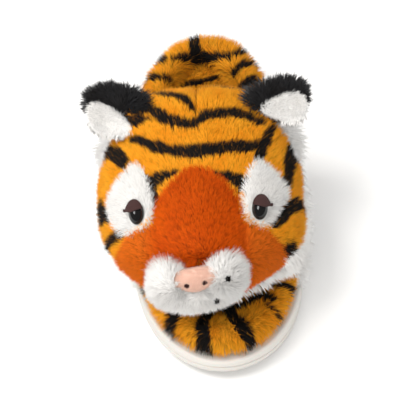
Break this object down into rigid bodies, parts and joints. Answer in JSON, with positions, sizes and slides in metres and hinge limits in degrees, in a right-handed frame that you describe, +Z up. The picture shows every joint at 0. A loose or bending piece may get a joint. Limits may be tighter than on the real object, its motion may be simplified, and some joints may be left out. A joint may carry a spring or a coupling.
{
  "type": "plush slide slipper",
  "caption": "Open-toe plush slide slipper for the right foot: stuffed tiger face over the instep, padded striped rim and footbed, white moulded sole.",
  "frame": {"origin": "bottom centre of the bounding box, on the floor", "axes": "+Z up, +Y towards the heel, -Y towards the toe, +X towards the inner, big-toe side"},
  "size_m": [0.1438, 0.263, 0.1245],
  "materials": {
    "sole_foam": "matte white moulded foam",
    "striped_plush": "short orange plush with black stripes",
    "rust_plush": "short rust-orange plush",
    "white_plush": "white plush",
    "black_plush": "long black plush",
    "pink_plush": "short pink plush",
    "eye_gloss": "glossy black",
    "brown_felt": "dark brown felt"
  },
  "bodies": {
    "root": {"sole": "sole_foam", "rim": "striped_plush", "footbed": "striped_plush", "upper": "white_plush", "head": "striped_plush", "bridge": "rust_plush", "eye_patch_left": "white_plush", "eye_patch_right": "white_plush", "muzzle": "white_plush", "nose": "pink_plush", "eye_left": "eye_gloss", "eye_right": "eye_gloss", "eyelid_left": "brown_felt", "eyelid_right": "brown_felt", "ear_back_left": "black_plush", "ear_back_right": "black_plush", "ear_lining_left": "white_plush", "ear_lining_right": "white_plush"}
  },
  "joints": []
}
